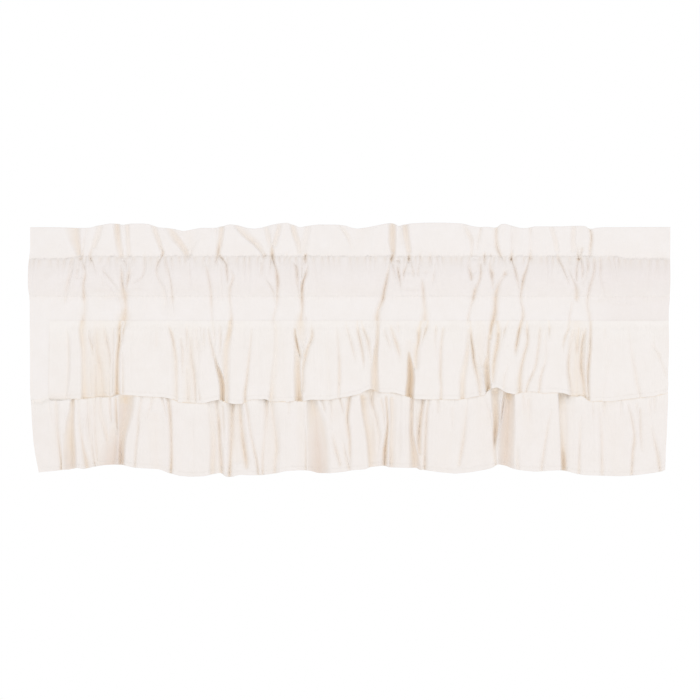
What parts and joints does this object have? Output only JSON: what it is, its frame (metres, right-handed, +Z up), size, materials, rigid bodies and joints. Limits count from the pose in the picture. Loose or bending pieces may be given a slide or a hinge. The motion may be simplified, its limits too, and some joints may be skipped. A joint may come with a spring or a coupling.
{
  "type": "gathered window valance with rod pocket and ruffles",
  "caption": "Gathered cotton window valance: a header and rod pocket over a hanging body with an upper and a lower ruffle, in soft uneven folds.",
  "frame": {"origin": "middle of the valance's width, at its mean top edge, on the axis of the rod that the pocket takes", "axes": "+X along the width, to the right as seen from the room; the face looks along -Y; +Z up"},
  "size_m": [1.0617, 0.0552, 0.419],
  "materials": {
    "heading_cotton": "plain-woven washed cotton, antique white, matt",
    "body_cotton": "plain-woven washed cotton, antique white, matt",
    "ruffle_cotton": "plain-woven washed cotton, antique white, matt"
  },
  "bodies": {
    "root": {"heading": "heading_cotton", "body_panel": "body_cotton", "upper_ruffle": "ruffle_cotton", "lower_ruffle": "ruffle_cotton"}
  },
  "joints": []
}
